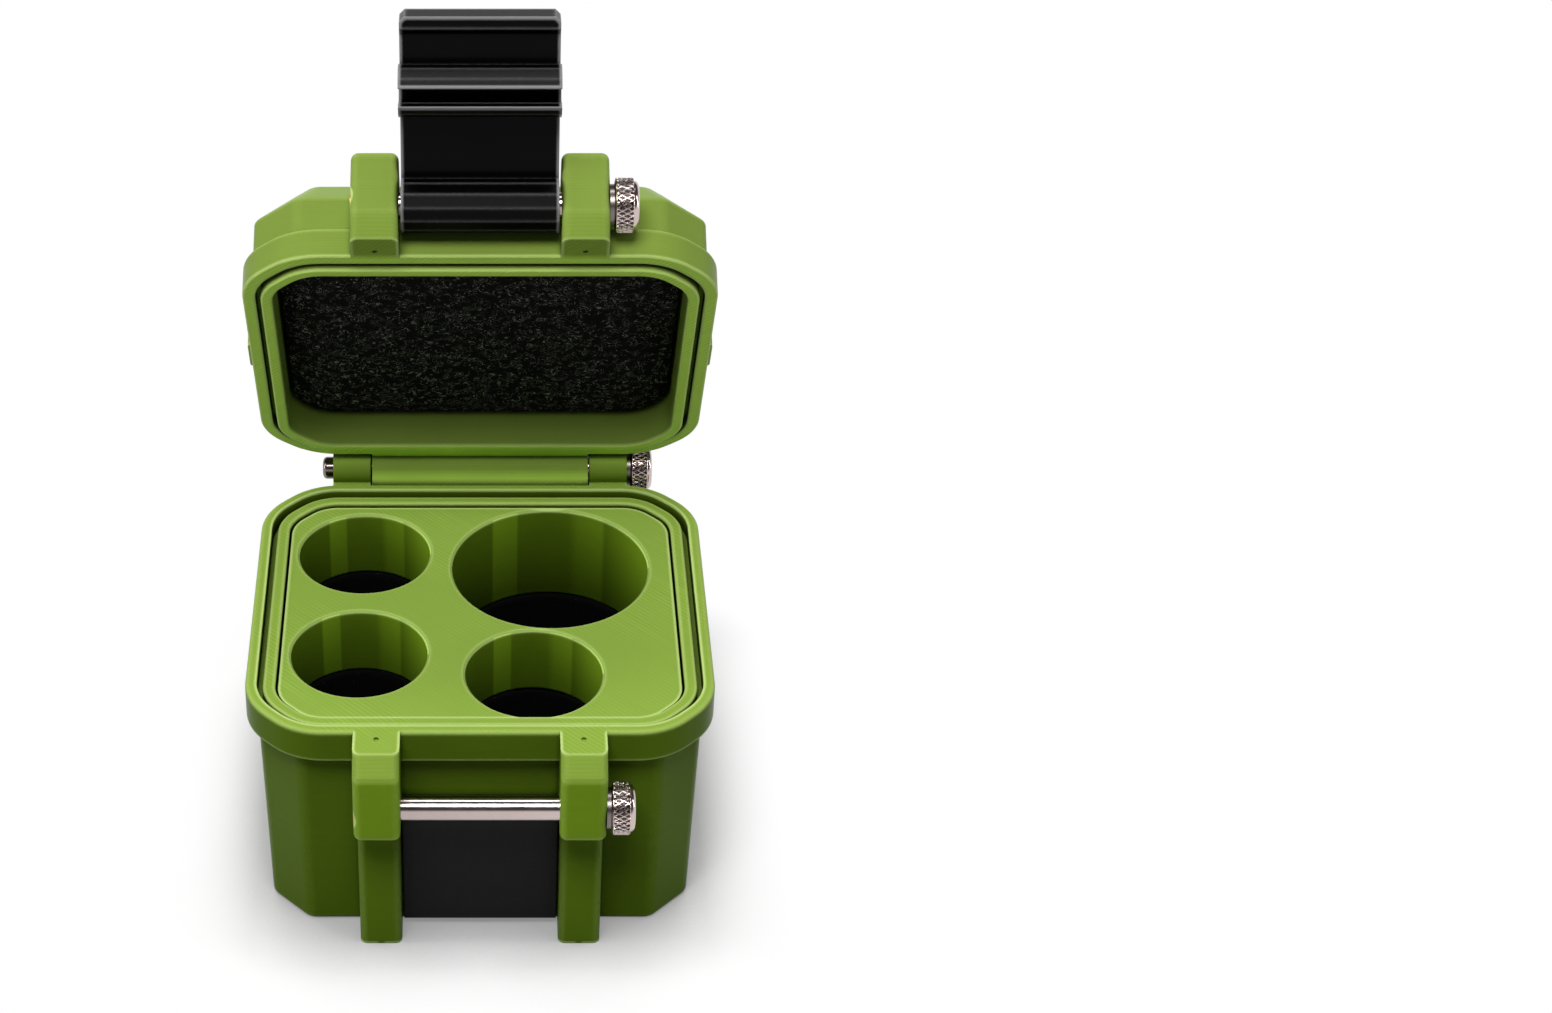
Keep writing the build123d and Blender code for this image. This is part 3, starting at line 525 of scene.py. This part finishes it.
def cut_foam(name, settings, speck_share, fibre_share):
    """Black cross-linked foam. It is dull and porous, and on a felted face pale
    specks and short fibres catch the light."""
    material, tree = new_material(name)
    place = add(tree, "ShaderNodeTexCoord").outputs["Object"]
    # Specks of about 0.15 mm, about 2 mm apart, drawn coarser than the real ones
    cells = add(
        tree, "ShaderNodeTexVoronoi",
        {"Vector": place, "Scale": 1 / settings.speck_cell, "Randomness": 1.0})
    chosen = add(tree, "ShaderNodeSeparateColor", {0: cells.outputs["Color"]}).outputs[0]
    dot = add(
        tree, "ShaderNodeMapRange",
        {"Value": cells.outputs["Distance"], "From Min": 0.17, "From Max": 0.08}).outputs[0]
    lit = add(
        tree, "ShaderNodeMapRange",
        {"Value": chosen, "From Min": 0.68, "From Max": 0.85, "To Max": speck_share}).outputs[0]
    specks = add(tree, "ShaderNodeMath", {0: dot, 1: lit}, operation="MULTIPLY").outputs[0]
    # Curled fibres under 0.1 mm thick and 1 to 2 mm long, drawn coarser than the real ones
    curls = add(
        tree, "ShaderNodeTexNoise",
        {"Vector": place, "Scale": 1 / settings.curl_size, "Detail": 0.0, "Distortion": 1.4}).outputs[0]
    lines_per_curl = 8.0
    off_line = add(tree, "ShaderNodeMath", {0: curls, 1: lines_per_curl}, operation="MULTIPLY").outputs[0]
    off_line = add(tree, "ShaderNodeMath", {0: off_line, 1: 1.0}, operation="PINGPONG").outputs[0]
    strand = add(
        tree, "ShaderNodeMapRange", {"Value": off_line, "From Min": 0.24, "From Max": 0.08}).outputs[0]
    broken = add(
        tree, "ShaderNodeTexNoise",
        {"Vector": place, "Scale": 1 / settings.curl_size, "Detail": 1.0}).outputs[0]
    broken = add(
        tree, "ShaderNodeMapRange",
        {"Value": broken, "From Min": 0.42, "From Max": 0.55, "To Max": fibre_share}).outputs[0]
    fibres = add(tree, "ShaderNodeMath", {0: strand, 1: broken}, operation="MULTIPLY").outputs[0]
    pale = add(tree, "ShaderNodeMath", {0: specks, 1: fibres}, operation="MAXIMUM").outputs[0]

    pores = add(
        tree, "ShaderNodeTexNoise",
        {"Vector": place, "Scale": 1 / settings.pore_size, "Detail": 3.0, "Roughness": 0.7}).outputs[0]
    pore_contrast = 1.1
    pore_tone = 0.4
    tone = add(
        tree, "ShaderNodeMath", {0: pores, 1: pore_contrast, 2: pore_tone},
        operation="MULTIPLY_ADD").outputs[0]
    black = list(settings.black)[:3]
    toned = add(tree, "ShaderNodeVectorMath", {0: black, "Scale": tone}, operation="SCALE").outputs[0]
    base = add(
        tree, "ShaderNodeMix", {0: pale, 6: toned, 7: list(settings.speck)}, data_type="RGBA").outputs[2]
    height = add(tree, "ShaderNodeMath", {0: pale, 1: pores}, operation="ADD").outputs[0]
    relief = add(
        tree, "ShaderNodeBump",
        {"Height": height, "Distance": settings.pore_depth, "Strength": 0.7}).outputs[0]
    close_material(tree, {
        "Base Color": base, "Roughness": 0.9, "Normal": relief, "IOR": 1.45, "Specular IOR Level": 0.08})
    return material


def turned_metal(name, tint, ring_pitch, settings, gloss):
    """Turned and polished metal. Fine rings run round its axis and soften the
    reflections along it, and painted shade darkens the bottom of a knurl and the marked shanks."""
    material, tree = new_material(name)
    place = add(tree, "ShaderNodeTexCoord").outputs["Object"]
    axes = add(tree, "ShaderNodeSeparateXYZ", {0: place})
    count = add(
        tree, "ShaderNodeMath", {0: axes.outputs["X"], 1: 1 / ring_pitch}, operation="MULTIPLY").outputs[0]
    rings = add(
        tree, "ShaderNodeTexNoise", {"W": count, "Scale": 1.0, "Detail": 2.0},
        noise_dimensions="1D").outputs[0]
    stain = add(
        tree, "ShaderNodeTexNoise",
        {"Vector": place, "Scale": 1 / settings.stain_size, "Detail": 3.0}).outputs[0]
    stain_share = 0.12
    tone = add(
        tree, "ShaderNodeMath", {0: stain, 1: stain_share, 2: 1 - stain_share / 2},
        operation="MULTIPLY_ADD").outputs[0]
    recess = add(tree, "ShaderNodeAttribute", attribute_name="recess").outputs["Fac"]
    # Painted shade darkens the knurl's hollows and the shanks
    painted_shade = add(tree, "ShaderNodeMapRange", {"Value": recess, "To Min": 1.0, "To Max": 0.12}).outputs[0]
    tone = add(tree, "ShaderNodeMath", {0: tone, 1: painted_shade}, operation="MULTIPLY").outputs[0]
    base = add(
        tree, "ShaderNodeVectorMath", {0: list(tint)[:3], "Scale": tone}, operation="SCALE").outputs[0]
    rough = add(
        tree, "ShaderNodeMath", {0: stain, 1: stain_share, 2: gloss - stain_share / 2},
        operation="MULTIPLY_ADD").outputs[0]
    relief = add(
        tree, "ShaderNodeBump",
        {"Height": rings, "Distance": settings.ring_depth, "Strength": 0.6}).outputs[0]
    close_material(tree, {"Base Color": base, "Metallic": 1.0, "Roughness": rough, "Normal": relief})
    return material


def ramp(value, start, end):
    """Smooth rise from 0 to 1 between two values."""
    rise = min(1.0, max(0.0, (value - start) / (end - start)))
    return rise * rise * (3 - 2 * rise)


def triangle(turns):
    """Triangle wave of period 1, with its peak of 1 at each whole number."""
    return abs(2 * (turns % 1.0) - 1)


def apply_modifiers(piece):
    """Give a piece the mesh that its modifiers make, and clear them."""
    plain = piece.data
    depsgraph = bpy.context.evaluated_depsgraph_get()
    piece.data = bpy.data.meshes.new_from_object(piece.evaluated_get(depsgraph))
    piece.modifiers.clear()
    bpy.data.meshes.remove(plain)
    piece.data.name = piece.name


def remeshed(node, name, cell):
    """Evenly meshed and softened copy of a packed foam solid."""
    piece = bpy.data.objects.new(name, NODES[node].data.copy())
    bpy.context.scene.collection.objects.link(piece)
    cells = piece.modifiers.new("cells", "REMESH")
    cells.mode = "VOXEL"
    cells.voxel_size = cell
    soften = piece.modifiers.new("soften", "SMOOTH")
    soften.factor = 0.5
    soften.iterations = 4
    apply_modifiers(piece)
    piece.data.materials.clear()
    for polygon in piece.data.polygons:
        polygon.use_smooth = True
    return piece


def open_cells(mesh, settings):
    """Sink the surface unevenly, inwards only, as cut foam cells do."""
    normals = [vertex.normal.copy() for vertex in mesh.vertices]
    for vertex, normal in zip(mesh.vertices, normals):
        sink = 0.5 + 0.5 * noise.noise(vertex.co / settings.cell_size)
        vertex.co -= normal * (settings.cell_depth * sink)


def foam_piece(node, name, mesh_spacing, settings):
    """Foam piece in a packed foam solid's space."""
    piece = remeshed(node, name, mesh_spacing)
    open_cells(piece.data, settings)
    return piece


def finish_foam(piece, node, body, material):
    """Give a foam piece its material and body, and hide the imported node."""
    piece.data.materials.append(material)
    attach(piece, body)
    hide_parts(node)


def crown_lid_foam(piece, settings):
    """Draw the edges of the lid foam's face in, so that its middle stands proud."""
    shut = Matrix.Rotation(radians(joint_start("lid_hinge")), 4, "X")
    opened = shut.inverted()
    flat = [shut @ vertex.co for vertex in piece.data.vertices]
    low = Vector([min(point[i] for point in flat) for i in range(3)])
    high = Vector([max(point[i] for point in flat) for i in range(3)])
    middle = (low + high) / 2
    for vertex, point in zip(piece.data.vertices, flat):
        from_side = (high.x - low.x) / 2 - abs(point.x - middle.x)
        from_end = (high.y - low.y) / 2 - abs(point.y - middle.y)
        rise = ramp(min(from_side, from_end), 0, settings.crown_run)
        face_share = 1 - ramp(point.z, low.z, middle.z)
        point.z += settings.crown * (1 - rise) ** 2 * face_share
        vertex.co = opened @ point


def knurl_recess(x, angle, start, end, settings):
    """Depth of the diamond knurl at a place along and round the head, from 0 to 1."""
    if not start <= x <= end:
        return 0.0
    round_turns = settings.knurl_count * angle / (2 * pi)
    along_turns = (x - start) / settings.knurl_pitch
    ridge = max(triangle(round_turns + along_turns), triangle(round_turns - along_turns))
    run_out = settings.knurl_run_out
    ends = min(ramp(x, start, start + run_out), ramp(-x, -end, -end + run_out))
    groove_floor = 0.5
    ridge_top = 0.76
    return ends * (1 - ramp(ridge, groove_floor, ridge_top))


def quarter_turn(x, radius, reach, steps):
    """Rows of a rounded edge that ends in a face at the given reach along the screw."""
    turns = [pi / 2 * i / steps for i in range(steps + 1)]
    return [(x + reach * sin(turn), radius - reach * (1 - cos(turn))) for turn in turns]


def screw_rows(low_x, high_x, head_radius, settings):
    """Profile of a thumb screw from its tip to its cap, as places and radii, and the
    two places between which the head is knurled."""
    tip_steps = 6
    knurl_steps = 26
    cap_steps = 8
    shank = settings.shank_radius
    head = high_x - settings.head_length
    knurl_start = head + settings.knurl_start
    knurl_end = head + settings.knurl_end
    step = (knurl_end - knurl_start) / knurl_steps
    tip = quarter_turn(low_x, shank, settings.tip_round, tip_steps)
    rows = [(low_x, 0.0)]
    rows += [(2 * low_x - x + settings.tip_round, radius) for x, radius in reversed(tip)]
    rows += [(head, shank)]
    rows += [(head + along * MM, head_radius - inward * MM) for along, inward in HEAD_SHOULDER]
    rows += [(knurl_start + step * i, head_radius) for i in range(knurl_steps + 1)]
    rows += [(knurl_end + along * MM, head_radius - inward * MM) for along, inward in CAP_SHOULDER]
    cap_radius = rows[-1][1]
    rows += quarter_turn(high_x - settings.cap_round, cap_radius, settings.cap_round, cap_steps)
    return rows + [(high_x, 0.0)], knurl_start, knurl_end


def thumb_screw(node, name, settings, shank_shade):
    """Thumb screw with a diamond-knurled head, a smooth cap and a rounded tip."""
    low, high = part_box(node)
    axis_y = (low.y + high.y) / 2
    axis_z = (low.z + high.z) / 2
    rows, knurl_start, knurl_end = screw_rows(low.x, high.x, (high.z - low.z) / 2, settings)
    points_per_diamond = 8
    segments = points_per_diamond * settings.knurl_count
    vertices = []
    recesses = []
    for x, plain_radius in rows:
        # Painted shade: the shank below the head is darkened
        painted_shade = shank_shade if x < high.x - settings.head_length else 0.0
        for i in range(segments):
            angle = 2 * pi * i / segments
            recess = knurl_recess(x, angle, knurl_start, knurl_end, settings)
            radius = plain_radius - settings.knurl_depth * recess
            vertices.append((x, axis_y + radius * cos(angle), axis_z + radius * sin(angle)))
            recesses.append(max(recess, painted_shade))
    faces = []
    for row in range(len(rows) - 1):
        near = row * segments
        far = near + segments
        for i in range(segments):
            j = (i + 1) % segments
            faces.append((near + i, far + i, far + j, near + j))
    mesh = bpy.data.meshes.new(name)
    mesh.from_pydata(vertices, [], faces)
    mesh.attributes.new("recess", "FLOAT", "POINT").data.foreach_set("value", recesses)
    piece = bpy.data.objects.new(name, mesh)
    bpy.context.scene.collection.objects.link(piece)
    # Only the points that meet in the middle of each end merge
    weld = piece.modifiers.new("weld", "WELD")
    weld.merge_threshold = 0.0005 * MM
    apply_modifiers(piece)
    piece.data.set_sharp_from_angle(angle=radians(40))
    return piece


class VIALCASE_OT_shells(bpy.types.Operator):
    """Dress the base, the tray and the lid in green printed plastic"""
    bl_idname = "vial_case.shells"
    bl_label = "Shells and tray"

    def execute(self, context):
        settings = context.scene.vial_case_print
        looks = {
            "gloss": 0.3, "line_depth": 0.01 * MM, "specular": 0.035,
            "edge_share": settings.edge_share, "tint": list(settings.green_sheen)}
        greens = (settings.green, settings.green_upright_shade, settings.green_edge_highlight)
        dress("base_shell", printed_plastic(
            "pla_green_printed", *greens, UNTILTED, settings, tones=painted_ear_light, **looks))
        # Edges deeper in the tray than this lie in shade and stay dark
        lit_depth = 2 * MM
        # Painted light: the tray takes the paler green
        tray_greens = (settings.green_tray_lit, settings.green_upright_shade, settings.green_edge_highlight)
        dress("vial_tray", printed_plastic(
            "pla_green_printed_tray", *tray_greens, UNTILTED, settings, tones=painted_pocket_light,
            edge_from=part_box("vial_tray")[1].z - lit_depth, **looks))
        turn, shift = lid_turn()
        lid_greens = (settings.green, settings.green_lid_upright_shade, settings.green_edge_highlight)
        dress("lid_shell", printed_plastic(
            "pla_green_printed_lid", *lid_greens, (turn, 0, 0), settings, tones=painted_rim_light,
            mark_y=MARK_Y + shift, **looks))
        return {"FINISHED"}


class VIALCASE_OT_latch(bpy.types.Operator):
    """Dress the snap latch in black printed plastic"""
    bl_idname = "vial_case.latch"
    bl_label = "Latch"

    def execute(self, context):
        settings = context.scene.vial_case_print
        black = settings.latch_black
        sideways = (0, radians(90), 0)
        dress("latch", printed_plastic(
            "petg_black_printed", black, black, settings.latch_edge_highlight, sideways, settings,
            gloss=0.24, line_depth=0.004 * MM, specular=0.06, edge_share=0.8))
        return {"FINISHED"}


class VIALCASE_OT_front_panel(bpy.types.Operator):
    """Dress the panel on the base's front wall in matte black plastic, a painted shade where the wall shows dark
    below the catch
    """
    bl_idname = "vial_case.front_panel"
    bl_label = "Front panel"

    def execute(self, context):
        settings = context.scene.vial_case_print
        black = settings.panel_shade_black
        # Painted shade: a matte black sheet laid where the front wall shows dark
        dress("front_panel", printed_plastic(
            "pla_black_matte", black, black, settings.panel_edge_highlight, UNTILTED, settings,
            gloss=0.7, line_depth=0.01 * MM, specular=0.2, edge_share=0.4))
        return {"FINISHED"}


class VIALCASE_OT_lid_foam(bpy.types.Operator):
    """Make the crowned foam pad in the lid"""
    bl_idname = "vial_case.lid_foam"
    bl_label = "Lid foam"

    def execute(self, context):
        settings = context.scene.vial_case_foam
        piece = foam_piece("lid_foam", "lid_foam_pad", settings.lid_mesh, settings)
        crown_lid_foam(piece, settings)
        felted = cut_foam(
            "foam_black_felted", settings, speck_share=1.0, fibre_share=settings.fibre_share)
        finish_foam(piece, "lid_foam", "lid", felted)
        return {"FINISHED"}


class VIALCASE_OT_pocket_foam(bpy.types.Operator):
    """Make the die-cut foam below the tray and the foam disc in each pocket"""
    bl_idname = "vial_case.pocket_foam"
    bl_label = "Pocket foam"

    def execute(self, context):
        settings = context.scene.vial_case_foam
        cut = cut_foam("foam_black_cut", settings, speck_share=0.04, fibre_share=0.0)
        for node in sorted(n for n in NODES if n == "foam_block" or n.startswith("pocket_pad_")):
            piece = foam_piece(node, node + "_soft", settings.pocket_mesh, settings)
            finish_foam(piece, node, "base", cut)
        return {"FINISHED"}


class VIALCASE_OT_screws(bpy.types.Operator):
    """Make the three thumb screws and dress their washers and inserts"""
    bl_idname = "vial_case.screws"
    bl_label = "Thumb screws"

    def execute(self, context):
        settings = context.scene.vial_case_screws
        steel = turned_metal(
            "stainless_steel_turned", settings.steel, settings.steel_rings, settings, gloss=0.16)
        # Painted shade: the washers get a darker copy of the steel
        washer_shaded_steel = turned_metal(
            "stainless_steel_stamped", settings.washer_steel_shaded, settings.washer_rings, settings, gloss=0.3)
        brass = turned_metal(
            "brass_turned", settings.brass, settings.brass_rings, settings, gloss=0.34)
        bodies = {"hinge": "base", "catch": "base", "latch": "lid"}
        for place, body in bodies.items():
            # Painted shade darkens the hinge's shank between the knuckles
            painted_shade = settings.hinge_shade if place == "hinge" else settings.shank_shade
            piece = thumb_screw(place + "_screw", place + "_thumb_screw", settings, painted_shade)
            piece.data.materials.append(steel)
            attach(piece, body)
            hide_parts(place + "_screw")
            dress(place + "_washer", washer_shaded_steel)
            dress(place + "_insert", brass)
        return {"FINISHED"}


def area_light(name, place, target, size, level):
    """Soft rectangular lamp that lights a face turned to it by a share of full white."""
    data = bpy.data.lights.new(name, "AREA")
    data.shape = "RECTANGLE"
    data.size, data.size_y = size
    towards = Vector(target) - Vector(place)
    data.energy = level * pi ** 2 * towards.length_squared
    lamp = bpy.data.objects.new(name, data)
    lamp.location = place
    lamp.rotation_euler = towards.to_track_quat("-Z", "Y").to_euler()
    bpy.context.scene.collection.objects.link(lamp)


def seen_share(tree):
    """1 for what the eye, a reflection or a clear piece shows, and 0 for other light."""
    path = add(tree, "ShaderNodeLightPath").outputs
    seen = add(
        tree, "ShaderNodeMath", {0: path["Is Camera Ray"], 1: path["Is Transmission Ray"]},
        operation="MAXIMUM").outputs[0]
    return add(
        tree, "ShaderNodeMath", {0: seen, 1: path["Is Glossy Ray"]}, operation="MAXIMUM").outputs[0]


def away_from_case(tree, place, settings):
    """Share of the way from the base's outline to where the paper is plain white."""
    low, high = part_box("base_shell")
    half = ((high.x - low.x) / 2, (high.y - low.y) / 2, high.z)
    aside = add(
        tree, "ShaderNodeVectorMath", {0: place, 1: (low + high) / 2}, operation="SUBTRACT").outputs[0]
    aside = add(tree, "ShaderNodeVectorMath", {0: aside}, operation="ABSOLUTE").outputs[0]
    aside = add(tree, "ShaderNodeVectorMath", {0: aside, 1: half}, operation="SUBTRACT").outputs[0]
    aside = add(tree, "ShaderNodeVectorMath", {0: aside, 1: (0, 0, 0)}, operation="MAXIMUM").outputs[0]
    reach = add(tree, "ShaderNodeVectorMath", {0: aside}, operation="LENGTH").outputs["Value"]
    return add(tree, "ShaderNodeMapRange", {"Value": reach, "From Max": settings.shadow_reach}).outputs[0]


def paper_floor(settings):
    """White matt paper. It keeps the soft shadow by the case, deepened by a painted
    contact shadow, glows out to plain white for the eye, and throws only a little light back on the case."""
    material, tree = new_material("paper_white_matt")
    place = add(tree, "ShaderNodeTexCoord").outputs["Object"]
    fibres = add(
        tree, "ShaderNodeTexNoise",
        {"Vector": place, "Scale": 1 / settings.paper_grain, "Detail": 2.0}).outputs[0]
    grain_share = 0.02
    tone = add(
        tree, "ShaderNodeMath", {0: fibres, 1: grain_share, 2: 1 - grain_share / 2},
        operation="MULTIPLY_ADD").outputs[0]
    seen = seen_share(tree)
    # What the paper sends back to the case is dimmer than what the eye sees
    bounce = add(
        tree, "ShaderNodeMapRange",
        {"Value": seen, "To Min": settings.floor_bounce, "To Max": 1.0}).outputs[0]
    tone = add(tree, "ShaderNodeMath", {0: tone, 1: bounce}, operation="MULTIPLY").outputs[0]
    # Painted contact shadow: the paper is darkened where the case stands close
    painted_contact_shadow = add(
        tree, "ShaderNodeAmbientOcclusion", {"Distance": settings.contact_shadow_reach}, samples=8).outputs["AO"]
    painted_contact_shadow = add(
        tree, "ShaderNodeMapRange",
        {"Value": painted_contact_shadow, "From Min": 0.45, "From Max": 0.97, "To Min": 0.3}).outputs[0]
    tone = add(tree, "ShaderNodeMath", {0: tone, 1: painted_contact_shadow}, operation="MULTIPLY").outputs[0]
    floor = list(settings.floor)[:3]
    base = add(tree, "ShaderNodeVectorMath", {0: floor, "Scale": tone}, operation="SCALE").outputs[0]
    paper = add(tree, "ShaderNodeBsdfDiffuse", {"Color": base, "Roughness": 0.5})
    # The share of plain white rises from this one beside the case
    white_beside = 0.24
    white = add(
        tree, "ShaderNodeMapRange",
        {"Value": away_from_case(tree, place, settings), "To Min": white_beside}).outputs[0]
    white = add(tree, "ShaderNodeMath", {0: white, 1: seen}, operation="MULTIPLY").outputs[0]
    glow = add(tree, "ShaderNodeEmission", {"Color": (1, 1, 1, 1), "Strength": 1.0})
    mixed = add(tree, "ShaderNodeMixShader", {0: white, 1: paper.outputs[0], 2: glow.outputs[0]})
    add(tree, "ShaderNodeOutputMaterial", {"Surface": mixed.outputs[0]})
    return material


def studio_world():
    """White round the horizon and dark overhead for the camera and reflections, and
    dim for the light."""
    world = bpy.data.worlds.new("studio")
    world.use_nodes = True
    tree = world.node_tree
    tree.nodes.clear()
    white_up_to = radians(3)
    dark_from = radians(26)
    overhead = 0.05
    dim = 0.08
    direction = add(tree, "ShaderNodeTexCoord").outputs["Generated"]
    rise = add(tree, "ShaderNodeSeparateXYZ", {0: direction}).outputs["Z"]
    backdrop = add(
        tree, "ShaderNodeMapRange",
        {"Value": rise, "From Min": sin(white_up_to), "From Max": sin(dark_from),
         "To Min": 1.0, "To Max": overhead},
        interpolation_type="SMOOTHSTEP").outputs[0]
    level = add(
        tree, "ShaderNodeMapRange",
        {"Value": seen_share(tree), "To Min": dim, "To Max": backdrop}).outputs[0]
    back = add(tree, "ShaderNodeBackground", {"Color": (1, 1, 1, 1), "Strength": level})
    add(tree, "ShaderNodeOutputWorld", {"Surface": back.outputs[0]})
    return world


class VIALCASE_OT_stage(bpy.types.Operator):
    """Make the floor, the lights and the camera"""
    bl_idname = "vial_case.stage"
    bl_label = "Stage"

    def execute(self, context):
        settings = context.scene.vial_case_stage
        half = 2.5
        corners = [(-half, -half, 0), (half, -half, 0), (half, half, 0), (-half, half, 0)]
        mesh = bpy.data.meshes.new("paper_floor")
        mesh.from_pydata(corners, [], [(0, 1, 2, 3)])
        floor = bpy.data.objects.new("paper_floor", mesh)
        context.scene.collection.objects.link(floor)
        mesh.materials.append(paper_floor(settings))

        middle = (0, 0, (cad_low.z + cad_high.z) / 2)
        for name, (place, size, level) in LAMPS.items():
            area_light(name, place, middle, size, level)

        camera = bpy.data.objects.new("camera", bpy.data.cameras.new("camera"))
        reach = settings.camera_distance
        rise = settings.view_height + reach * sin(settings.elevation)
        camera.location = (0, -reach * cos(settings.elevation), rise)
        camera.rotation_euler = (pi / 2 - settings.elevation, 0, 0)
        camera.data.lens = settings.lens
        camera.data.shift_x = settings.shift
        camera.data.clip_start = 0.01
        context.scene.collection.objects.link(camera)
        context.scene.camera = camera
        context.scene.world = studio_world()
        context.scene.view_settings.view_transform = "Standard"
        return {"FINISHED"}


OPERATORS = (
    VIALCASE_OT_shells,
    VIALCASE_OT_latch,
    VIALCASE_OT_front_panel,
    VIALCASE_OT_lid_foam,
    VIALCASE_OT_pocket_foam,
    VIALCASE_OT_screws,
    VIALCASE_OT_stage,
)


class VIALCASE_PT_sidebar(bpy.types.Panel):
    """Lists the steps that dress the vial case"""
    bl_idname = "VIALCASE_PT_sidebar"
    bl_label = "Vial Case"
    bl_space_type = "VIEW_3D"
    bl_region_type = "UI"
    bl_category = "Vial Case"

    def draw(self, context):
        for operator in OPERATORS:
            self.layout.operator(operator.bl_idname)


CLASSES = (*GROUPS.values(), *OPERATORS, VIALCASE_PT_sidebar)


def register():
    """Register the classes and hang their settings on the scene."""
    for cls in CLASSES:
        bpy.utils.register_class(cls)
    for name, group in GROUPS.items():
        setattr(bpy.types.Scene, name, PointerProperty(type=group))


def unregister():
    """Take the settings off the scene and unregister the classes."""
    for name in GROUPS:
        delattr(bpy.types.Scene, name)
    for cls in reversed(CLASSES):
        bpy.utils.unregister_class(cls)


def main():
    """Register the classes, dress the case and set the stage."""
    register()
    for operator in OPERATORS:
        group, name = operator.bl_idname.split(".")
        getattr(getattr(bpy.ops, group), name)()


if __name__ == "__main__":
    main()
